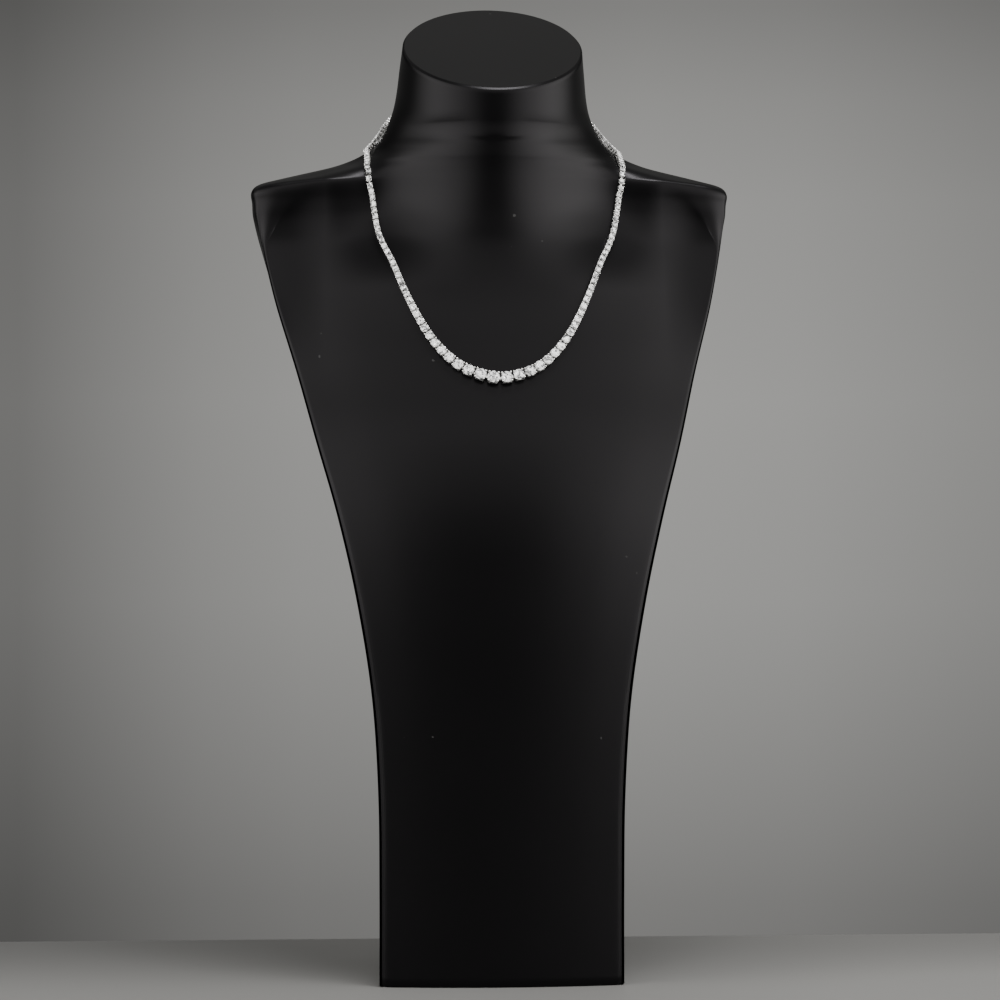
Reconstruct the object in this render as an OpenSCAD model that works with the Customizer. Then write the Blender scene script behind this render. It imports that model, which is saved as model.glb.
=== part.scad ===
// Graduated riviere necklace, lying on a plain neck bust that stands by itself.
// +Z is up, the chest faces -Y, and the origin is on the floor under the middle of the bust.

/* [Bust] */
// Height of the bust, up to the back edge of its slanted top
bust_h = 416.5; // [390:0.5:450]
// Width across the shoulders
shoulder_w = 209; // [195:1:225]
// Width of the base
base_w = 101.6; // [92:0.2:112]
// Width of the neck at the slanted top
neck_w = 77.2; // [70:0.2:84]
// Depth from the foot of the chest to the back of the shoulders
bust_d = 124; // [114:1:136]
// Rise of the slanted top for each millimetre of depth
top_slope = 0.63; // [0.4:0.01:0.75]
// Rounding along the two upright edges of the front
front_edge = 4; // [2:0.5:7]
// Rounding along the two upright edges of the back
back_edge = 11; // [6:0.5:15]
// Bevel round the base and round the rim of the top
rim = 0.8; // [0.4:0.1:1.6]

/* [Stones] */
// Diameter of the middle stone
middle_d = 5.15; // [4.4:0.05:6]
// Diameter that the stones come down to behind the neck
end_d = 2.2; // [2.1:0.05:2.6]
// Number of stones, from the middle one, over which most of the size is lost
taper = 9.5; // [6:0.5:14]
// Sharpness of that loss
taper_power = 1.2; // [0.9:0.05:1.5]
// Width of a stone's table, as a share of its diameter
table_share = 0.57; // [0.5:0.01:0.62]
// Slope of the crown, in degrees
crown_angle = 34.5; // [30:0.5:36]
// Slope of the pavilion, in degrees
pavilion_angle = 40.75; // [39:0.25:42]
// Thickness of the girdle, as a share of the stone's diameter
girdle_share = 0.03; // [0.02:0.005:0.05]
// Stones on each side of the middle one
stones_each_side = 49; // [20:1:50]

/* [Settings] */
// Least gap between neighbouring stones
stone_gap = 0.4; // [0.36:0.01:0.5]
// Air between pieces that don't touch
clear = 0.11; // [0.1:0.01:0.14]
// Air between the necklace and the bust
rest_gap = 0.2; // [0.15:0.01:0.4]
// Extra air over an eye, so that the next setting can bend on it
bend_room = 0.06; // [0.06:0.01:0.1]
// Thickness of the rails under the smallest and the middle stone
rail_t = [0.2, 0.34]; // [0.18:0.01:0.4]
// Height of those rails
rail_h = [0.28, 0.42]; // [0.22:0.01:0.46]
// Diameter of the prongs
prong_d = [0.3, 0.52]; // [0.3:0.01:0.6]
// Diameter of the beads that end the prongs
bead_d = [0.415, 0.92]; // [0.4:0.005:1]
// Wall of the eye that holds the next setting
eye_wall = [0.18, 0.28]; // [0.15:0.01:0.32]
// Width of that eye
eye_w = [0.5, 0.9]; // [0.4:0.01:1]
// How far the middle stone lies from the bust's middle line
slide = -2.9; // [-4:0.1:4]

/* [Clasp] */
// Length of the clasp, from bar to bar
clasp_l = 9; // [7:0.5:12]
// Width of the clasp
clasp_w = 3.2; // [2.6:0.1:3.6]
// Height of the clasp's box
clasp_h = 1.7; // [1.4:0.1:2]

/* [Hidden] */
$fn = 24;

// Columns of the table of sections
LEVEL = 0;
HALF_F = 1;
HALF_B = 2;
FRONT = 3;
BACK = 4;
BULGE_F = 5;
BULGE_B = 6;

// Sections of the bust from the floor up: the level on its axis, half its width at the front
// and at the back, where its front and its back are, and how far each of them bulges
SECTIONS = [
    for (row = [
        [0.000, 0.500 * base_w, 0.455 * base_w, -0.500, 0.300, 0.040, 0.035],
        [0.096, 0.500 * base_w, 0.455 * base_w, -0.500, 0.300, 0.040, 0.035],
        [0.192, 0.505 * base_w, 0.460 * base_w, -0.500, 0.303, 0.040, 0.038],
        [0.288, 0.531 * base_w, 0.490 * base_w, -0.500, 0.312, 0.044, 0.045],
        [0.384, 0.593 * base_w, 0.554 * base_w, -0.500, 0.330, 0.060, 0.064],
        [0.468, 0.326 * shoulder_w, 0.306 * shoulder_w, -0.488, 0.352, 0.089, 0.097],
        [0.540, 0.366 * shoulder_w, 0.350 * shoulder_w, -0.440, 0.378, 0.121, 0.137],
        [0.612, 0.405 * shoulder_w, 0.388 * shoulder_w, -0.355, 0.412, 0.161, 0.177],
        [0.684, 0.447 * shoulder_w, 0.437 * shoulder_w, -0.266, 0.445, 0.194, 0.202],
        [0.740, 0.472 * shoulder_w, 0.474 * shoulder_w, -0.211, 0.475, 0.226, 0.210],
        [0.771, 0.483 * shoulder_w, 0.495 * shoulder_w, -0.197, 0.492, 0.242, 0.210],
        [0.792, 0.488 * shoulder_w, 0.500 * shoulder_w, -0.194, 0.500, 0.250, 0.210],
        [0.808, 0.482 * shoulder_w, 0.491 * shoulder_w, -0.194, 0.500, 0.258, 0.210],
        [0.8175, 0.414 * shoulder_w, 0.419 * shoulder_w, -0.195, 0.497, 0.258, 0.210],
        [0.827, 0.333 * shoulder_w, 0.335 * shoulder_w, -0.198, 0.493, 0.258, 0.210],
        [0.837, 0.280 * shoulder_w, 0.280 * shoulder_w, -0.203, 0.485, 0.258, 0.210],
        [0.849, 0.663 * neck_w, 0.663 * neck_w, -0.210, 0.468, 0.258, 0.210],
        [0.867, 0.588 * neck_w, 0.588 * neck_w, -0.218, 0.444, 0.258, 0.210],
        [0.891, 0.541 * neck_w, 0.541 * neck_w, -0.227, 0.411, 0.258, 0.210],
        [0.920, 0.519 * neck_w, 0.519 * neck_w, -0.238, 0.359, 0.258, 0.210],
        [0.9495, 0.500 * neck_w, 0.500 * neck_w, -0.250, 0.290, 0.258, 0.210],
    ]) [row[0] * bust_h, row[1], row[2], row[3] * bust_d, row[4] * bust_d, row[5] * bust_d, row[6] * bust_d]
];
TOP = SECTIONS[len(SECTIONS) - 1][LEVEL];

// Levels between which the section turns from a rounded slab into an ellipse
SLAB_TO = 0.733 * bust_h;
OVAL_FROM = 0.829 * bust_h;
// Levels between which the sections come to lie at the slope of the top
LEVEL_TO = 0.829 * bust_h;
SLANT_FROM = 0.932 * bust_h;

// Parts of a quarter turn that the face and its corner take
FACE = 42;
CORNER = 40;
// Points on them
FACE_POINTS = 6;
CORNER_POINTS = 5;
// Greatest distance between two rings
RING_STEP = 14;

// Route of the chain from the middle of the chest to the middle of the nape:
// the angle round the bust, 270 at the chest and 450 at the nape, and the level as a share of its height
ROUTE = [
    [270, 0.603],
    [276, 0.609],
    [280.2, 0.6215],
    [283.5, 0.6405],
    [285.9, 0.664],
    [288, 0.694],
    [290, 0.729],
    [293, 0.762],
    [295.2, 0.781],
    [297.9, 0.7985],
    [300.6, 0.809],
    [307.4, 0.8175],
    [319.5, 0.8265],
    [331.6, 0.8345],
    [344.6, 0.8415],
    [354, 0.849],
    [361, 0.8575],
    [369, 0.8655],
    [379, 0.871],
    [391, 0.8755],
    [405, 0.878],
    [420, 0.8795],
    [450, 0.8805],
];
ROUTE_STEPS = 8;

// Settings and stones that are pieces of their own, on each side of the middle one
MAIN = 9;

// Value that goes smoothly from 0 at a to 1 at b
function ease(a, b, v) =
    let (t = max(0, min(1, (v - a) / (b - a))))
    t * t * (3 - 2 * t);

function unit(v) = v / norm(v);

// Slope of the table at a row, by the rows on both sides of it
function slope_at(i) =
    let (a = SECTIONS[max(i - 1, 0)], b = SECTIONS[min(i + 1, len(SECTIONS) - 1)])
    (b - a) / (b[LEVEL] - a[LEVEL]);

// Section at any level, on a smooth curve through the table's rows
function section(level) =
    let (
        i = max([for (k = [0:len(SECTIONS) - 2]) SECTIONS[k][LEVEL] <= level ? k : 0]),
        a = SECTIONS[i],
        b = SECTIONS[i + 1],
        h = b[LEVEL] - a[LEVEL],
        t = (level - a[LEVEL]) / h,
        s = 1 - t
    )
    s * s * (1 + 2 * t) * a + t * t * (3 - 2 * t) * b
    + t * s * h * (s * slope_at(i) - t * slope_at(i + 1));

// Point on one quarter of a slab: x from its middle, and depth from its face.
// The face is a low parabola, the corner a curve of the given size, the side straight.
function slab_point(q, half_w, bulge, edge, side) =
    let (
        corner = [half_w, bulge],
        a = corner - edge * unit([1, 2 * bulge / half_w]),
        b = corner + edge * unit(side - corner),
        t = (q - FACE) / CORNER,
        x = a.x * q / FACE,
        drop = a.y - bulge * pow(a.x / half_w, 2)
    )
    q <= FACE ? [x, bulge * pow(x / half_w, 2) + drop * pow(q / FACE, 4)]
    : q <= FACE + CORNER ? (1 - t) * (1 - t) * a + 2 * t * (1 - t) * corner + t * t * b
    : b + (side - b) * (q - FACE - CORNER) / (90 - FACE - CORNER);

// Point of the bust at an angle on the section c of a level
function on_section(c, angle, level) =
    let (
        turn = angle % 360,
        front = turn > 180,
        q = abs(turn - (front ? 270 : 90)),
        right = turn < 90 || turn > 270 ? 1 : -1,
        side_x = (c[HALF_F] + c[HALF_B]) / 2,
        side_y = (c[FRONT] + c[BULGE_F] + c[BACK] - c[BULGE_B]) / 2,
        slab = front
            ? slab_point(q, c[HALF_F], c[BULGE_F], front_edge, [side_x, side_y - c[FRONT]])
            : slab_point(q, c[HALF_B], c[BULGE_B], back_edge, [side_x, c[BACK] - side_y]),
        slab_y = front ? c[FRONT] + slab.y : c[BACK] - slab.y,
        middle = (c[FRONT] + c[BACK]) / 2,
        oval = [side_x * abs(cos(turn)), middle + (c[BACK] - c[FRONT]) / 2 * sin(turn)],
        w = ease(SLAB_TO, OVAL_FROM, level),
        y = (1 - w) * slab_y + w * oval.y
    )
    [
        right * ((1 - w) * slab.x + w * oval.x),
        y,
        level + top_slope * ease(LEVEL_TO, SLANT_FROM, level) * (y - middle)
    ];

function bust_point(angle, level) = on_section(section(level), angle, level);

// Direction straight out of the bust's surface
function bust_normal(angle, level) = unit(cross(
    bust_point(angle + 0.5, level) - bust_point(angle - 0.5, level),
    bust_point(angle, level + 0.4) - bust_point(angle, level - 0.4)
));

QUARTER = concat(
    [for (k = [0:FACE_POINTS - 1]) FACE * k / (FACE_POINTS - 1)],
    [for (k = [1:CORNER_POINTS]) FACE + CORNER * k / CORNER_POINTS]
);
ANGLES = concat(
    [for (q = QUARTER) 270 + q],
    [360],
    [for (k = [1:len(QUARTER)]) 450 - QUARTER[len(QUARTER) - k]],
    [for (k = [1:len(QUARTER) - 1]) 450 + QUARTER[k]],
    [540],
    [for (k = [1:len(QUARTER) - 1]) 630 - QUARTER[len(QUARTER) - k]]
);
LEVELS = [
    for (i = [0:len(SECTIONS) - 2])
        let (
            low = SECTIONS[i][LEVEL] + (i == 0 ? rim : 0),
            high = SECTIONS[i + 1][LEVEL] - (i == len(SECTIONS) - 2 ? rim : 0),
            n = max(2, ceil((high - low) / RING_STEP))
        )
        for (k = [0:n - (i == len(SECTIONS) - 2 ? 0 : 1)]) low + (high - low) * k / n
];

function ring(level) = let (c = section(level)) [for (a = ANGLES) on_section(c, a, level)];

// The same ring drawn in towards its middle and raised
function drawn_in(points, inset, rise) =
    let (middle = (points[0] + points[len(points) / 2]) / 2)
    [for (p = points) let (d = norm([p.x, p.y - middle.y])) middle + (p - middle) * (1 - inset / d) + [0, 0, rise]];

module bust() {
    rings = concat(
        [drawn_in(ring(rim), rim, -rim)],
        [for (level = LEVELS) ring(level)],
        [drawn_in(ring(TOP - rim), rim, rim)]
    );
    n = len(ANGLES);
    last = len(rings) - 1;
    sides = [
        for (r = [0:last - 1], k = [0:n - 1])
            let (a = r * n + k, b = r * n + (k + 1) % n)
            each [[a, a + n, b + n], [a, b + n, b]]
    ];
    color([0.07, 0.07, 0.08])
        polyhedron(
            points = [for (points = rings) each points],
            faces = concat(
                sides,
                [[for (k = [0:n - 1]) k]],
                [[for (k = [0:n - 1]) last * n + n - 1 - k]]
            ),
            convexity = 6
        );
}

// Smooth curve through the route, as angles and levels
function between(i, t) =
    let (
        last = len(ROUTE) - 1,
        a = i == 0 ? [540 - ROUTE[1].x, ROUTE[1].y] : ROUTE[i - 1],
        b = ROUTE[i],
        c = ROUTE[i + 1],
        d = i == last - 1 ? [900 - b.x, b.y] : ROUTE[i + 2]
    )
    (2 * b + (c - a) * t + (2 * a - 5 * b + 4 * c - d) * t * t + (3 * b - a - 3 * c + d) * t * t * t) / 2;

PATH = concat(
    [for (i = [0:len(ROUTE) - 2], k = [0:ROUTE_STEPS - 1]) between(i, k / ROUTE_STEPS)],
    [ROUTE[len(ROUTE) - 1]]
);
PATH_POINTS = [for (p = PATH) bust_point(p.x, p.y * bust_h)];
PATH_LENGTH = [
    for (k = 0, s = 0; k < len(PATH); k = k + 1, s = s + (k < len(PATH) ? norm(PATH_POINTS[k] - PATH_POINTS[k - 1]) : 0)) s
];
HALF_LOOP = PATH_LENGTH[len(PATH) - 1];
ANGLE_ALONG = [for (k = [0:len(PATH) - 1]) [PATH_LENGTH[k], PATH[k].x]];
LEVEL_ALONG = [for (k = [0:len(PATH) - 1]) [PATH_LENGTH[k], PATH[k].y * bust_h]];

// Place on the bust at a distance along the chain from the middle of the chest: the point and its normal.
// The left half mirrors the right one, and past the nape the chain comes up the other side.
function on_route(s) =
    let (
        past = abs(s) > HALF_LOOP,
        side = (s < 0 ? -1 : 1) * (past ? -1 : 1),
        d = past ? 2 * HALF_LOOP - abs(s) : abs(s),
        angle = lookup(d, ANGLE_ALONG),
        level = lookup(d, LEVEL_ALONG),
        p = bust_point(angle, level),
        n = bust_normal(angle, level)
    )
    [[side * p.x, p.y, p.z], [side * n.x, n.y, n.z]];

// Diameter of the stone that is i places from the middle
function stone_d(i) = end_d + (middle_d - end_d) * exp(-pow(abs(i) / taper, taper_power));

// Size for a stone of diameter d, out of the sizes for the smallest and the middle stone
function sized(d, sizes) = sizes[0] + (sizes[1] - sizes[0]) * (d - end_d) / (middle_d - end_d);

// Distances of the stones from the middle one, as far as the clasp leaves room
CLASP_ROOM = HALF_LOOP - clasp_l / 2 - stone_gap - end_d / 2;
REACH = [
    for (i = 0, s = 0; s <= CLASP_ROOM; i = i + 1, s = s + (stone_d(i - 1) + stone_d(i)) / 2 + stone_gap) s
];
EACH_SIDE = len(REACH) - 1;
// Factor that spreads the row so that it closes at the clasp
SPREAD = CLASP_ROOM / REACH[EACH_SIDE];

// Distance along the chain of link i, where the one past the last is the clasp
function link_s(i) =
    slide + (abs(i) > EACH_SIDE ? HALF_LOOP : SPREAD * REACH[abs(i)]) * (i < 0 ? -1 : 1);

PLACES = [for (i = [-EACH_SIDE - 1:EACH_SIDE + 1]) on_route(link_s(i))];

// Frame of link i: origin, direction along the chain, direction across it, direction out of the bust
function link_frame(i) =
    let (
        k = i + EACH_SIDE + 1,
        origin = PLACES[k][0],
        out = PLACES[k][1],
        before = PLACES[i == -EACH_SIDE - 1 ? 2 * EACH_SIDE + 1 : k - 1][0],
        after = PLACES[i == EACH_SIDE + 1 ? 1 : k + 1][0],
        across = unit(cross(out, after - before))
    )
    [origin, cross(across, out), across, out];

function to_world(f, p) = f[0] + p.x * f[1] + p.y * f[2] + p.z * f[3];
function to_link(f, p) = [for (k = [1:3]) (p - f[0]) * f[k]];

// Heights and half widths in a setting, from the bust's surface up
function eye_r(d) = norm([sized(d, rail_t), sized(d, rail_h)]) / 2 + clear;
function eye_out(d) = eye_r(d) + sized(d, eye_wall);
function rail_mid(d) = rest_gap + eye_out(d);
function prong_at(d) = (d / 2 + clear + sized(d, prong_d) / 2) / sqrt(2);
function gallery_z(d) = rail_mid(d) + eye_out(d) + clear + bend_room;
function girdle_z(d) =
    gallery_z(d) + sized(d, rail_h) + clear / cos(pavilion_angle)
    + (d / 2 - prong_at(d) + sized(d, rail_t) / 2) * tan(pavilion_angle);
function girdle_top(d) = girdle_z(d) + girdle_share * d;

// Half width between the beads of setting i: those of the main settings lean in over the stone
function bead_at(i) =
    let (d = stone_d(i))
    prong_at(d) - (abs(i) <= MAIN ? 0.5 * (sized(d, bead_d) - sized(d, prong_d)) / sqrt(2) : 0);
function bead_z(i) =
    let (d = stone_d(i), past = bead_at(i) * sqrt(2) - d / 2)
    girdle_top(d) + (sized(d, bead_d) / 2 + clear - past * sin(crown_angle)) / cos(crown_angle);

// Middle of the bar that the eye of the link before holds
function held_bar(i) =
    abs(i) > EACH_SIDE
    ? to_world(link_frame(i), [(rail_t[0] - clasp_l) / 2, 0, rail_mid(end_d)])
    : to_world(link_frame(i), [-prong_at(stone_d(i)), 0, rail_mid(stone_d(i))]);

module in_frame(f)
    multmatrix([
        [f[1].x, f[2].x, f[3].x, f[0].x],
        [f[1].y, f[2].y, f[3].y, f[0].y],
        [f[1].z, f[2].z, f[3].z, f[0].z],
        [0, 0, 0, 1],
    ])
        children();

// Square frame through the middles of the prongs
module rail(half, thick, high)
    linear_extrude(high)
        difference() {
            square(2 * half + thick, center = true);
            square(2 * half - thick, center = true);
        }

// Eye on the bar at x = from, with the window that the held bar passes through
module eye(d, from, held) {
    step = held - [from, 0, rail_mid(d)];
    wide = sized(d, eye_w);
    translate([from, 0, rail_mid(d)])
        rotate([0, -atan2(step.z, norm([step.x, step.y])), atan2(step.y, step.x)])
            difference() {
                translate([0, -wide / 2, -eye_out(d)])
                    cube([norm(step) + eye_out(d), wide, 2 * eye_out(d)]);
                translate([norm(step) - eye_r(d), -wide, -eye_r(d)])
                    cube([2 * eye_r(d), 2 * wide, 2 * eye_r(d)]);
            }
}

module setting(i) {
    d = stone_d(i);
    f = link_frame(i);
    low = rail_mid(d) - sized(d, rail_h) / 2;
    color([0.78, 0.79, 0.81])
        in_frame(f)
            union() {
                translate([0, 0, low])
                    rail(prong_at(d), sized(d, rail_t), sized(d, rail_h));
                translate([0, 0, gallery_z(d)])
                    rail(prong_at(d), sized(d, rail_t), sized(d, rail_h));
                for (x = [-1, 1], y = [-1, 1]) {
                    translate([x * prong_at(d), y * prong_at(d), low])
                        cylinder(h = bead_z(i) - low, d = sized(d, prong_d));
                    translate([x * bead_at(i), y * bead_at(i), bead_z(i)])
                        sphere(d = sized(d, bead_d));
                }
                eye(d, prong_at(d), to_link(f, held_bar(i + 1)));
            }
}

// Round brilliant with a table, 8 stars, 8 kites, 16 upper facets, a girdle and 24 facets below
module brilliant(d) {
    r = d / 2;
    table_r = table_share * r / cos(22.5);
    star_r = (table_r + r) / 2;
    low_r = 0.22 * r;
    crown = (r - table_r) * tan(crown_angle);
    girdle = girdle_share * d;
    depth = r * tan(pavilion_angle);
    star_z = girdle + crown * (r - star_r * cos(22.5)) / (r - table_r);
    low_z = -depth * (1 - low_r * cos(22.5) / r);
    table = [for (k = [0:7]) [table_r * cos(45 * k), table_r * sin(45 * k), girdle + crown]];
    stars = [for (k = [0:7]) [star_r * cos(45 * k + 22.5), star_r * sin(45 * k + 22.5), star_z]];
    upper = [for (k = [0:15]) [r * cos(22.5 * k), r * sin(22.5 * k), girdle]];
    lower = [for (k = [0:15]) [r * cos(22.5 * k), r * sin(22.5 * k), 0]];
    below = [for (k = [0:7]) [low_r * cos(45 * k + 22.5), low_r * sin(45 * k + 22.5), low_z]];
    polyhedron(
        points = concat(table, stars, upper, lower, below, [[0, 0, -depth]]),
        faces = concat(
            [[7, 6, 5, 4, 3, 2, 1, 0]],
            [for (k = [0:7]) each [
                [k, (k + 1) % 8, 8 + k],
                [k, 8 + k, 16 + 2 * k, 8 + (k + 7) % 8],
                [8 + k, 16 + 2 * k + 1, 16 + 2 * k],
                [8 + k, 16 + (2 * k + 2) % 16, 16 + 2 * k + 1],
                [48 + k, 32 + 2 * k, 32 + 2 * k + 1],
                [48 + k, 32 + 2 * k + 1, 32 + (2 * k + 2) % 16],
                [56, 48 + (k + 7) % 8, 32 + 2 * k, 48 + k]
            ]],
            [for (k = [0:15]) [16 + k, 16 + (k + 1) % 16, 32 + (k + 1) % 16, 32 + k]]
        )
    );
}

// Small round stone with a table, 8 crown facets, a girdle and 8 facets below
module single_cut(d) {
    r = d / 2;
    table_r = table_share * r / cos(22.5);
    crown = (r - table_r) * cos(22.5) * tan(crown_angle);
    girdle = girdle_share * d;
    rings = [[table_r, girdle + crown], [r, girdle], [r, 0]];
    polyhedron(
        points = concat(
            [for (g = rings, k = [0:7]) [g[0] * cos(45 * k + 22.5), g[0] * sin(45 * k + 22.5), g[1]]],
            [[0, 0, -r * tan(pavilion_angle)]]
        ),
        faces = concat(
            [[7, 6, 5, 4, 3, 2, 1, 0]],
            [for (g = [0, 8], k = [0:7]) [g + k, g + (k + 1) % 8, g + 8 + (k + 1) % 8, g + 8 + k]],
            [for (k = [0:7]) [24, 16 + k, 16 + (k + 1) % 8]]
        )
    );
}

module stone(i)
    color([0.86, 0.92, 0.97])
        in_frame(link_frame(i))
            translate([0, 0, girdle_z(stone_d(i))])
                if (abs(i) <= MAIN) brilliant(stone_d(i));
                else single_cut(stone_d(i));

// Closed box with a bar at one end, which the last eye holds, and an eye at the other
module clasp() {
    f = link_frame(EACH_SIDE + 1);
    half = clasp_l / 2;
    slot = 2 * eye_out(end_d) + 2 * clear;
    thick = rail_t[0];
    color([0.78, 0.79, 0.81])
        in_frame(f) {
            translate([-half + thick + slot, -clasp_w / 2, rest_gap])
                cube([clasp_l - slot - thick - clear, clasp_w, clasp_h]);
            translate([-half, -clasp_w / 2, rail_mid(end_d) - rail_h[0] / 2])
                linear_extrude(rail_h[0])
                    difference() {
                        square([slot + 2 * thick, clasp_w]);
                        translate([thick, thick])
                            square([slot, clasp_w - 2 * thick]);
                    }
            eye(end_d, half - 2 * thick, to_link(f, held_bar(-EACH_SIDE)));
        }
}

// Names of the pieces beside the middle
function tag(i) = i == 0 ? "middle" : str(i < 0 ? "left_" : "right_", abs(i));

bust();
clasp();
for (i = [-EACH_SIDE:-MAIN - 1]) setting(i);  // left_settings
for (i = [MAIN + 1:EACH_SIDE]) setting(i);  // right_settings
for (i = [-stones_each_side:-MAIN - 1]) stone(i);  // left_stones
for (i = [MAIN + 1:stones_each_side]) stone(i);  // right_stones
for (i = [-MAIN:MAIN]) {
    setting(i);
    stone(i);
}
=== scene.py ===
import math

import bpy
import numpy as np
from mathutils import Matrix, Vector


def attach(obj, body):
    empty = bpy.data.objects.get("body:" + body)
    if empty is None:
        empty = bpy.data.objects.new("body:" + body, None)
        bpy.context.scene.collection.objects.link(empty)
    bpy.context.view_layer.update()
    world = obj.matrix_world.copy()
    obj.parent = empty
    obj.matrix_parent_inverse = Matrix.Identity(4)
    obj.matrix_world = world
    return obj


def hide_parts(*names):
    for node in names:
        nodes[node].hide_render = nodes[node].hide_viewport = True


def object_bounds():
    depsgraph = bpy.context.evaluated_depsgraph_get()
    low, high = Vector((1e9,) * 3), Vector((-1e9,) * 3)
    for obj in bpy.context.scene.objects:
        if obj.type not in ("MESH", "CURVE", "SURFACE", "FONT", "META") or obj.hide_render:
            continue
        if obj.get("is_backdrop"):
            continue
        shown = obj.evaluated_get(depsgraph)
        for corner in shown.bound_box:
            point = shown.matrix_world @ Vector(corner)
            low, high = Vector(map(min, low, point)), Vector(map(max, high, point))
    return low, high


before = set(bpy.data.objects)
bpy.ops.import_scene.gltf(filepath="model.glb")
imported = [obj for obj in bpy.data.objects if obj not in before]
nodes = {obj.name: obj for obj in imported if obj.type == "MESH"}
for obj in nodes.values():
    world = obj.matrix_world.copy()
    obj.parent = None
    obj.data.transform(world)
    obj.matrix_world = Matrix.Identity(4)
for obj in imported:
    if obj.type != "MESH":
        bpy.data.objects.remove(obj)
sizeBox = {"cad": [list(corner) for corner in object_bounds()]}
weldWithin = 1e-6  # metres
print("frame loaded:", len(nodes), "nodes")


# selecting and modelling by hand

def deselectAll():
    if bpy.context.object and bpy.context.object.mode != "OBJECT":
        bpy.ops.object.mode_set(mode="OBJECT")
    bpy.ops.object.select_all(action="DESELECT")


def pick(piece):
    deselectAll()
    bpy.context.view_layer.objects.active = piece
    piece.select_set(True)


def selectFaces(piece, wanted):  # faces chosen by their centre and normal, edit mode after it
    pick(piece)
    bpy.ops.object.mode_set(mode="EDIT")
    bpy.ops.mesh.select_mode(type="FACE")
    bpy.ops.mesh.select_all(action="DESELECT")
    bpy.ops.object.mode_set(mode="OBJECT")
    for face in piece.data.polygons:
        face.select = wanted(face.center, face.normal)
    bpy.ops.object.mode_set(mode="EDIT")


def copyOfNode(name, newName):  # a merged copy: the node's own mesh is loose triangles
    piece = nodes[name].copy()
    piece.data = nodes[name].data.copy()
    piece.name = newName
    piece.parent = None
    for key in list(piece.keys()):
        del piece[key]
    bpy.context.scene.collection.objects.link(piece)
    pick(piece)
    bpy.ops.object.mode_set(mode="EDIT")
    bpy.ops.mesh.select_all(action="SELECT")
    bpy.ops.mesh.remove_doubles(threshold=weldWithin)
    bpy.ops.object.mode_set(mode="OBJECT")
    return piece


def meshPoints(mesh):
    points = np.empty(len(mesh.vertices) * 3)
    mesh.vertices.foreach_get("co", points)
    return points.reshape(-1, 3)


# shader maths

class Shade:  # a number or a link in a material, that plain arithmetic works on
    def __init__(self, material, socket):
        self.material, self.socket = material, socket

    def maths(self, operation, a, b):
        return self.material.maths(operation, a, b)

    def __add__(self, other):
        return self.maths("ADD", self, other)

    def __sub__(self, other):
        return self.maths("SUBTRACT", self, other)

    def __mul__(self, other):
        return self.maths("MULTIPLY", self, other)

    def __truediv__(self, other):
        return self.maths("DIVIDE", self, other)

    def __rsub__(self, other):
        return self.maths("SUBTRACT", other, self)

    def __pow__(self, other):
        return self.maths("POWER", self, other)

    def __abs__(self):
        return self.maths("ABSOLUTE", self, 0.0)

    def __gt__(self, other):
        return self.maths("GREATER_THAN", self, other)

    def __rpow__(self, other):
        return self.maths("POWER", other, self)

    __radd__ = __add__
    __rmul__ = __mul__


class Made:  # a node that was made, whose outputs are asked for by name or number
    def __init__(self, material, node):
        self.material, self.made = material, node

    def out(self, key=0):
        return Shade(self.material, self.made.outputs[key])


class Finish:  # the node tree of a material or of the world
    def __init__(self, asset):
        self.asset = asset
        self.asset.use_nodes = True
        self.tree = self.asset.node_tree
        self.tree.nodes.clear()

    def node(self, kind, settings=None, values=None):
        made = self.tree.nodes.new(kind)
        for key, value in (settings or {}).items():
            if key == "stops":
                ramp = made.color_ramp
                while len(ramp.elements) < len(value):
                    ramp.elements.new(0.5)
                for element, (place, color) in zip(ramp.elements, value):
                    element.position, element.color = place, color
            else:
                setattr(made, key, value)
        for key, value in (values or {}).items():
            if isinstance(value, Shade):
                self.tree.links.new(value.socket, made.inputs[key])
            else:
                made.inputs[key].default_value = value
        return Made(self, made)

    def maths(self, operation, a, b):
        return self.node("ShaderNodeMath", {"operation": operation}, {0: a, 1: b}).out(0)

    def place(self):
        return self.node("ShaderNodeTexCoord").out("Object")

    def noise(self, scale, detail=2.0, roughness=0.5):
        return self.node("ShaderNodeTexNoise", {}, {
            "Vector": self.place(), "Scale": scale, "Detail": detail, "Roughness": roughness}).out(0)

    def cells(self, scale):
        return self.node("ShaderNodeTexVoronoi", {}, {"Vector": self.place(), "Scale": scale})

    def ramp(self, factor, stops):
        return self.node("ShaderNodeValToRGB", {"stops": stops}, {"Fac": factor}).out("Color")

    def ease(self, value, low, high):  # 0 below low, 1 above high, smooth between
        return self.node("ShaderNodeMapRange", {"interpolation_type": "SMOOTHSTEP"}, {
            "Value": value, "From Min": low, "From Max": high}).out(0)

    def mixColor(self, factor, a, b):
        return self.node("ShaderNodeMix", {"data_type": "RGBA"}, {0: factor, 6: a, 7: b}).out(2)

    def bump(self, height, strength, distance, over=None):
        values = {"Height": height, "Strength": strength, "Distance": distance}
        if over:
            values["Normal"] = over
        return self.node("ShaderNodeBump", {}, values).out("Normal")

    def finish(self, values):
        skin = self.node("ShaderNodeBsdfPrincipled", {}, values)
        self.node("ShaderNodeOutputMaterial", {}, {"Surface": skin.out("BSDF")})
        return self.asset


def newFinish(name):
    return Finish(bpy.data.materials.new(name))


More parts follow.
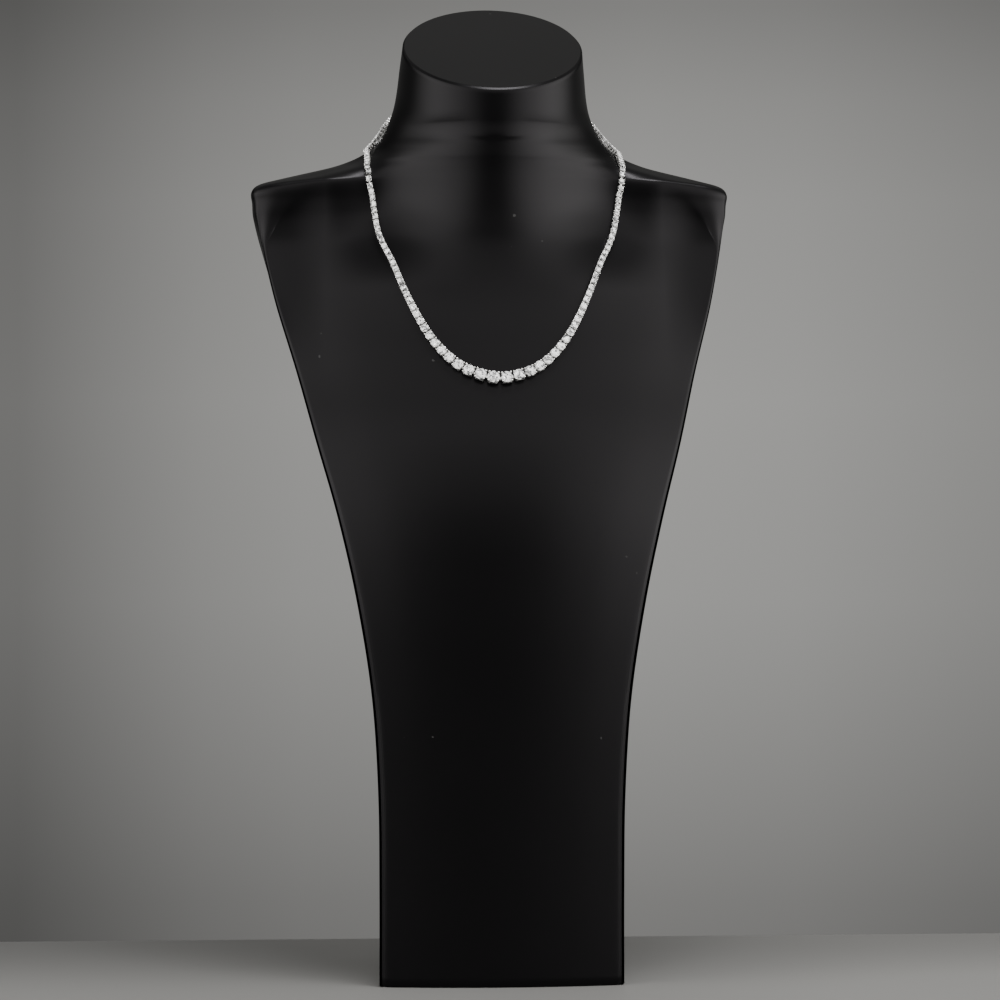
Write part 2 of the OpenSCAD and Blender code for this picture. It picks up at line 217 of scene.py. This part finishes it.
# satin black of the bust: dark, almost even, with a faint orange peel and a few specks of dust;
# each pattern of noise, here and below, is its scale, detail and roughness
blackCoat = {
    "low": (0.0008, 0.0008, 0.0009, 1), "high": (0.0014, 0.0014, 0.0016, 1),
    "clouds": (14.0, 3.0), "shine": 0.135, "tint": (0.985, 0.945, 1.0, 1),
    "roughness": 0.29, "roughnessSwing": 0.05, "smears": (22.0, 4.0, 0.6),
    "peel": (620.0, 2.0), "peelStrength": 0.10, "peelDepth": 0.00006,
    "dust": (260.0, 1.0, 0.4), "dustShare": 0.815, "dustColor": (0.03, 0.03, 0.03, 1),
    "dustRoughness": 0.3,
}


# low relief of the chest, which the solid leaves out: the root of the neck stays round down to
# the chest between two shallow hollows, and the shoulders are flat out to their corners
chestRelief = {
    "halfWidth": 0.045, "front": (-0.028, -0.006),
    "rise": 0.0040, "riseLow": (0.270, 0.346), "riseHigh": (0.3460, 0.3612),
    "hollow": 0.019, "hollowLow": (0.290, 0.336), "hollowHigh": (0.336, 0.366),
    "flatFrom": 0.072, "flatRise": 15.0, "flatLow": (0.235, 0.300),
    "strength": 1.0, "distance": 1.0,
}


def shapeRelief(m, s):
    parts = m.node("ShaderNodeSeparateXYZ", {}, {0: m.place()})
    x, y, z = (parts.out(axis) for axis in "XYZ")
    away = (x / s["halfWidth"]) ** 2.0
    rise = m.ease(z, *s["riseLow"]) * (1 - m.ease(z, *s["riseHigh"])) * s["rise"]
    hollow = m.ease(z, *s["hollowLow"]) * (1 - m.ease(z, *s["hollowHigh"])) * away * s["hollow"]
    root = (rise - hollow) * math.e ** (away ** 2.0 * -0.5) * m.ease(y * -1, *s["front"])
    outer = m.maths("MAXIMUM", abs(x) - s["flatFrom"], 0.0)
    return root + outer ** 2.0 * m.ease(z, *s["flatLow"]) * s["flatRise"]


def makeBlackCoat(s):
    m = newFinish("satinBlack")
    relief = m.bump(shapeRelief(m, chestRelief), chestRelief["strength"], chestRelief["distance"])
    color = m.mixColor(m.noise(*s["clouds"]), s["low"], s["high"])
    dust = m.noise(*s["dust"]) > s["dustShare"]
    rough = s["roughness"] + s["roughnessSwing"] * (m.noise(*s["smears"]) - 0.5)
    return m.finish({
        "Base Color": m.mixColor(dust, color, s["dustColor"]),
        "Roughness": rough + s["dustRoughness"] * dust,
        "Normal": m.bump(m.noise(*s["peel"]), s["peelStrength"], s["peelDepth"], relief),
        "Specular IOR Level": s["shine"],
        "Specular Tint": s["tint"],
    })


# polished white metal of the settings and the clasp
whiteMetal = {
    "low": (0.62, 0.615, 0.61, 1), "high": (0.86, 0.855, 0.845, 1), "clouds": (900.0, 2.0),
    "roughness": 0.10, "roughnessSwing": 0.10, "wear": (1500.0, 3.0, 0.6),
    "brush": (5200.0, 2.0), "brushStrength": 0.12, "brushDepth": 0.00001,
}


def makeWhiteMetal(s):
    m = newFinish("polishedWhiteMetal")
    return m.finish({
        "Base Color": m.mixColor(m.noise(*s["clouds"]), s["low"], s["high"]),
        "Metallic": 1.0,
        "Roughness": s["roughness"] + s["roughnessSwing"] * (m.noise(*s["wear"]) - 0.5),
        "Normal": m.bump(m.noise(*s["brush"]), s["brushStrength"], s["brushDepth"]),
    })


# clear cut stone: high refraction, with painted reflections, dark and bright facets painted into
# its colour under the table, and a painted glint, a faint glow in the brightest ones
clearStone = {
    "dark": (0.06, 0.062, 0.07, 1), "bright": (1.0, 1.0, 1.0, 1),
    "facetScale": 1150.0, "darkShare": (0.16, 0.56),
    "roughness": 0.0, "hazeSwing": 0.01, "haze": (2600.0, 2.0), "ior": 2.42, "clear": 0.06,
    "sparkleScale": 1500.0, "sparkle": 0.8, "sparkleDepth": 0.0004,
    "paintedGlintShare": (0.60, 1.0), "paintedGlint": 0.30, "noPaintedGlint": (0, 0, 0, 1),
}


def makeClearStone(s):
    m = newFinish("clearCutStone")
    glint = m.node("ShaderNodeSeparateColor", {}, {0: m.cells(s["facetScale"]).out("Color")}).out(0)
    tilted = m.cells(s["sparkleScale"]).out("Distance")
    return m.finish({
        # painted reflections: the facets' dark and bright patches are painted into the stone's colour
        "Base Color": m.mixColor(m.ease(glint, *s["darkShare"]), s["dark"], s["bright"]),
        "Roughness": s["roughness"] + s["hazeSwing"] * m.noise(*s["haze"]),
        "Normal": m.bump(tilted, s["sparkle"], s["sparkleDepth"]),
        # painted glint: the brightest facets glow, though there is no lamp in them
        "Emission Color": m.mixColor(m.ease(glint, *s["paintedGlintShare"]), s["noPaintedGlint"], s["bright"]),
        "Emission Strength": s["paintedGlint"],
        "IOR": s["ior"],
        "Transmission Weight": s["clear"],
    })


satinBlack = makeBlackCoat(blackCoat)
polishedMetal = makeWhiteMetal(whiteMetal)
cutStone = makeClearStone(clearStone)
print("materials made")


def dress(piece, material):
    piece.data.materials.clear()
    piece.data.materials.append(material)


for nodeName, cadPiece in nodes.items():
    if nodeName == "bust":
        dress(cadPiece, satinBlack)
    else:
        dress(cadPiece, cutStone if "stone" in nodeName else polishedMetal)


# the bust's skin: a smooth surface through the points of its solid
bustSkin = {
    "frontSlack": 0.01,  # radians, so that the point at the front comes first
    "capInset": 0.0006, "crease": 1.0,
    "levels": 2, "passes": 7, "sharpAngle": 35.0,
}


def ringsOf(piece, slack):  # rings of points from the base up, each in order round from the front
    points = meshPoints(piece.data)
    linked = [set() for _ in points]
    for edge in piece.data.edges:
        first, second = edge.vertices
        linked[first].add(second)
        linked[second].add(first)
    rings, ring, seen = [], set(np.flatnonzero(points[:, 2] < weldWithin)), set()
    while ring:
        seen |= ring
        middle = points[list(ring)].mean(axis=0)
        turns = {k: math.atan2(points[k][0], middle[1] - points[k][1]) % math.tau for k in ring}
        rings.append(sorted(ring, key=lambda k: (turns[k] + slack) % math.tau))
        ring = set().union(*(linked[k] for k in ring)) - seen
    return rings


def selectEdges(piece, wanted):  # edges chosen by the numbers of their two points, edit mode after it
    pick(piece)
    bpy.ops.object.mode_set(mode="EDIT")
    bpy.ops.mesh.select_mode(type="EDGE")
    bpy.ops.mesh.select_all(action="DESELECT")
    bpy.ops.object.mode_set(mode="OBJECT")
    for edge in piece.data.edges:
        edge.select = wanted(*edge.vertices)
    bpy.ops.object.mode_set(mode="EDIT")


def openGrid(piece, s):  # the diagonals go, both ends become one face, and the rims are creased
    rings = ringsOf(piece, s["frontSlack"])
    row = {k: r for r, ring in enumerate(rings) for k in ring}
    column = {k: c for ring in rings for c, k in enumerate(ring)}
    last, columns = len(rings) - 1, len(rings[0])

    def diagonal(a, b):
        apart = (column[a] - column[b]) % columns
        return row[a] != row[b] and apart != 0 or row[a] == row[b] and apart not in (1, columns - 1)

    rims = (0, 1, last - 1, last)
    selectEdges(piece, lambda a, b: row[a] == row[b] and row[a] in rims and not diagonal(a, b))
    bpy.ops.transform.edge_crease(value=s["crease"])
    bpy.ops.object.mode_set(mode="OBJECT")
    selectEdges(piece, diagonal)
    bpy.ops.mesh.dissolve_edges(use_verts=False)
    bpy.ops.mesh.select_mode(type="FACE")
    bpy.ops.mesh.select_all(action="DESELECT")
    bpy.ops.object.mode_set(mode="OBJECT")
    for face in piece.data.polygons:
        face.select = len(face.vertices) > 4
    ends = sum(face.select for face in piece.data.polygons)
    print("bust grid:", last + 1, "rings of", columns, "points,", ends, "ends")
    bpy.ops.object.mode_set(mode="EDIT")
    bpy.ops.mesh.inset(thickness=s["capInset"])
    bpy.ops.object.mode_set(mode="OBJECT")


# a subdivided cage shrinks, so it grows until its skin meets the solid's points
def swellToPoints(piece, s):
    wanted = meshPoints(piece.data)
    for _ in range(s["passes"]):
        drawn = piece.evaluated_get(bpy.context.evaluated_depsgraph_get()).data
        gap = wanted - meshPoints(drawn)[:len(wanted)]
        piece.data.vertices.foreach_set("co", (meshPoints(piece.data) + gap).ravel())
        piece.data.update()
        bpy.context.view_layer.update()
    print("bust skin off its points by up to %.3f mm" % (1000 * np.abs(gap).max()))


def keepInBox(piece, box):
    inside = np.clip(meshPoints(piece.data), box[0], box[1])
    piece.data.vertices.foreach_set("co", inside.ravel())
    piece.data.update()


def makeBustSkin(s):
    piece = copyOfNode("bust", "bust_skin")
    openGrid(piece, s)
    smooth = piece.modifiers.new("smooth", "SUBSURF")
    smooth.levels = smooth.render_levels = s["levels"]
    bpy.context.view_layer.update()
    swellToPoints(piece, s)
    pick(piece)
    bpy.ops.object.modifier_apply(modifier="smooth")
    keepInBox(piece, sizeBox["cad"])
    bpy.ops.object.shade_smooth_by_angle(angle=math.radians(s["sharpAngle"]))
    dress(piece, satinBlack)
    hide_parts("bust")
    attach(piece, "root")
    return piece


bustPiece = makeBustSkin(bustSkin)
print("bust skin:", len(bustPiece.data.polygons), "faces")


# the finest stones, in the settings next to the clasp
napeStone = {
    "diameter": 0.0022, "table": 0.57, "crownAngle": 34.5, "pavilionAngle": 40.75, "girdle": 0.03,
    "beadHeight": 0.00035, "beadPasses": 3, "stoneNear": 0.0012, "drop": 0.00026,
    "sides": 8, "endFace": 0.9,
}


def beadMiddles(points, out, along, s):  # the four beads of a setting, from its highest points
    height = points @ out
    high = points[height > height.max() - s["beadHeight"]]
    middle = high.mean(axis=0)
    across = np.cross(out, along)
    beads = []
    for x, y in ((1, 1), (1, -1), (-1, -1), (-1, 1)):
        corner = high[(((high - middle) @ along) * x > 0) & (((high - middle) @ across) * y > 0)]
        beads.append((corner.min(axis=0) + corner.max(axis=0)) / 2 if len(corner) else middle)
    return np.array(beads)


def makeNapeStone(s):
    radius = s["diameter"] / 2
    inward = math.cos(math.pi / s["sides"])  # the flat of a side lies nearer than its corner
    table = s["table"] * radius / inward
    crown = (radius - table) * inward * math.tan(math.radians(s["crownAngle"]))
    girdle = s["girdle"] * s["diameter"]
    depth = radius * math.tan(math.radians(s["pavilionAngle"]))
    deselectAll()
    bpy.ops.mesh.primitive_cylinder_add(
        vertices=s["sides"], radius=radius, depth=girdle, location=(0, 0, girdle / 2))
    piece = bpy.context.object
    selectFaces(piece, lambda centre, normal: normal.z > s["endFace"])
    bpy.ops.mesh.extrude_region_move(TRANSFORM_OT_translate={"value": (0, 0, crown)})
    bpy.ops.transform.resize(value=(table / radius, table / radius, 1))
    bpy.ops.object.mode_set(mode="OBJECT")
    selectFaces(piece, lambda centre, normal: normal.z < -s["endFace"])
    bpy.ops.mesh.extrude_region_move(TRANSFORM_OT_translate={"value": (0, 0, -depth)})
    bpy.ops.mesh.merge(type="CENTER")
    bpy.ops.mesh.select_all(action="SELECT")
    bpy.ops.mesh.normals_make_consistent(inside=False)
    bpy.ops.object.mode_set(mode="OBJECT")
    bpy.ops.object.transform_apply(location=True, rotation=True, scale=True)
    return piece


def looseParts(name):
    piece = copyOfNode(name, name + "_parts")
    bpy.ops.object.mode_set(mode="EDIT")
    bpy.ops.mesh.select_all(action="SELECT")
    bpy.ops.mesh.separate(type="LOOSE")
    bpy.ops.object.mode_set(mode="OBJECT")
    parts = list(bpy.context.selected_objects)
    clouds = [meshPoints(part.data) for part in parts]
    for part in parts:
        bpy.data.objects.remove(part)
    return clouds


def stonePlace(points, bust, s):
    normal = np.array(bust.closest_point_on_mesh(Vector(points.mean(axis=0)))[2])
    out = normal
    along = np.cross(out, (0, 0, 1.0))
    along /= np.linalg.norm(along)
    for _ in range(s["beadPasses"]):  # the beads give the setting's own axes
        beads = beadMiddles(points, out, along, s)
        out = np.cross(beads[0] - beads[2], beads[1] - beads[3])
        out = out / np.linalg.norm(out) * (1 if out @ normal > 0 else -1)
        side = beads[0] + beads[1] - beads[2] - beads[3]
        along = side - (side @ out) * out
        along /= np.linalg.norm(along)
    return beads.mean(axis=0), along, out


def seatNapeStones(s):
    template = makeNapeStone(s)
    stones = []
    for side in ("left", "right"):
        taken = [cloud.mean(axis=0) for cloud in looseParts(side + "_stones")]
        for points in looseParts(side + "_settings"):
            middle, along, out = stonePlace(points, bustPiece, s)
            if min(np.linalg.norm(middle - other) for other in taken) < s["stoneNear"]:
                continue
            stone = template.copy()
            stone.data = template.data.copy()
            bpy.context.scene.collection.objects.link(stone)
            axes = Matrix((along, np.cross(out, along), out)).transposed().to_4x4()
            stone.data.transform(Matrix.Translation(Vector(middle - s["drop"] * out)) @ axes)
            stones.append(stone)
    bpy.data.objects.remove(template)
    deselectAll()
    for stone in stones:
        stone.select_set(True)
    bpy.context.view_layer.objects.active = stones[0]
    bpy.ops.object.join()
    piece = bpy.context.object
    piece.name = "nape_stones"
    dress(piece, cutStone)
    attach(piece, "root")
    print("nape stones:", len(stones))


seatNapeStones(napeStone)


# floor, light and camera

# the floor's colour holds painted light: darker at the back by the wall, paler to the front and the right
paleFloor = {
    "size": (2.4, 1.3), "behind": 0.105,
    "low": (0.107, 0.106, 0.104, 1), "high": (0.232, 0.229, 0.224, 1), "roughness": 0.55,
    "forwards": (-0.105, 0.09), "forwardShare": 0.72, "toRight": (0.02, 0.20), "rightShare": 0.42,
}


def makeFloor(s):
    width, depth = s["size"]
    deselectAll()
    bpy.ops.mesh.primitive_plane_add(size=1, location=(0, s["behind"] - depth / 2, 0))
    floor = bpy.context.object
    bpy.ops.transform.resize(value=(width, depth, 1))
    bpy.ops.object.transform_apply(location=True, rotation=True, scale=True)
    floor.name = "floor"
    m = newFinish("paleFloor")
    parts = m.node("ShaderNodeSeparateXYZ", {}, {0: m.place()})
    # painted light: a pool of light towards the front and the right, and painted shade towards the back
    paintedFloorLight = m.ease(parts.out("Y") * -1, *s["forwards"]) * s["forwardShare"]
    paintedFloorLight = paintedFloorLight + m.ease(parts.out("X"), *s["toRight"]) * s["rightShare"]
    dress(floor, m.finish({
        "Base Color": m.mixColor(paintedFloorLight, s["low"], s["high"]),
        "Roughness": s["roughness"],
    }))
    floor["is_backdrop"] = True


# a soft grey room, whose light is given by direction: the wall behind is lit in a pool,
# long panels stand at both sides, and a wide one hangs over the front
softRoom = {
    "tint": (1.0, 0.992, 0.960, 1), "grey": 0.06,
    "wall": 0.385, "wallFrom": (0.3, 0.6), "wallReach": 0.3,
    "wallAcross": ((-0.30, 0.34), (-0.065, 0.45), (-0.0145, 0.75), (0.0136, 0.86), (0.109, 1.0),
                   (0.1535, 0.94), (0.203, 0.77), (0.30, 0.52)),
    "wallUpwards": ((-0.20, 0.30), (-0.112, 0.55), (-0.084, 0.68), (-0.028, 0.92), (0.028, 1.0),
                    (0.084, 0.91), (0.112, 0.78), (0.139, 0.59), (0.25, 0.40)),
    "leftPanel": 4.2, "rightPanel": 5.3, "panelBack": (-0.3, 0.5),
    "panelAcross": ((0.20, 0.0), (0.38, 0.24), (0.60, 0.62), (0.90, 1.0)),
    "panelUpwards": ((-0.70, 0.3), (-0.35, 1.0), (0.30, 1.0), (0.55, 0.35), (0.75, 0.05)),
    "frontPanel": 1.9, "frontBack": (0.0, 0.3),
    "frontUpwards": ((-0.12, 0.05), (0.12, 0.17), (0.35, 0.42), (0.55, 0.90), (0.64, 1.1),
                     (0.74, 0.6), (0.84, 0.1)),
    "ceiling": 0.38, "ceilingFrom": (0.5, 0.85),
}


def makeRoom(s):
    room = Finish(bpy.data.worlds.new("softGreyRoom"))
    parts = room.node("ShaderNodeSeparateXYZ", {}, {0: room.node("ShaderNodeTexCoord").out("Generated")})
    x, y, z = (parts.out(axis) for axis in "XYZ")

    def share(part, stops, reach):  # stops run from -reach to reach
        return room.ramp(part / (2 * reach) + 0.5,
                         [(place / (2 * reach) + 0.5, (value, value, value, 1)) for place, value in stops])

    behind, front = room.ease(y, *s["wallFrom"]), room.ease(y * -1, *s["frontBack"])
    wall = share(x, s["wallAcross"], s["wallReach"]) * share(z, s["wallUpwards"], s["wallReach"])
    wall = wall * behind * s["wall"]
    side = s["leftPanel"] + (s["rightPanel"] - s["leftPanel"]) * (x > 0)
    panels = side * share(abs(x), s["panelAcross"], 1) * share(z, s["panelUpwards"], 1)
    panels = panels * (1 - room.ease(y, *s["panelBack"]))
    over = share(z, s["frontUpwards"], 1) * front * s["frontPanel"]
    ceiling = room.ease(z, *s["ceilingFrom"]) * (1 - front) * s["ceiling"]
    light = room.node("ShaderNodeBackground", {}, {
        "Color": s["tint"], "Strength": wall + panels + over + ceiling + (1 - behind) * s["grey"]})
    room.node("ShaderNodeOutputWorld", {}, {"Surface": light.out("Background")})
    bpy.context.scene.world = room.asset


lamps = {
    "overheadSoftbox": {"at": (0.15, -0.45, 1.70), "aim": (0, 0, 0.27), "size": (0.5, 0.3), "power": 14},
}


def makeLamp(name, s):
    light = bpy.data.lights.new(name, "AREA")
    light.shape = "RECTANGLE"
    light.size, light.size_y = s["size"]
    light.energy = s["power"]
    lamp = bpy.data.objects.new(name, light)
    bpy.context.scene.collection.objects.link(lamp)
    lamp.location = s["at"]
    lamp.rotation_euler = (Vector(s["aim"]) - Vector(s["at"])).to_track_quat("-Z", "Y").to_euler()


cameraSettings = {"lens": 126.9, "sensor": 36.0, "at": (-0.102554, -1.51049, 0.201), "turn": -4.0}


def makeCamera(s):
    camera = bpy.data.objects.new("camera", bpy.data.cameras.new("camera"))
    bpy.context.scene.collection.objects.link(camera)
    camera.data.lens, camera.data.sensor_width = s["lens"], s["sensor"]
    camera.location = s["at"]
    camera.rotation_euler = (math.radians(90), 0, math.radians(s["turn"]))
    bpy.context.scene.camera = camera


makeFloor(paleFloor)
makeRoom(softRoom)
for lampName, lampSettings in lamps.items():
    makeLamp(lampName, lampSettings)
makeCamera(cameraSettings)
print("stage, lights and camera in place")

sizeBox["visual"] = [list(corner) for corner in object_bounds()]
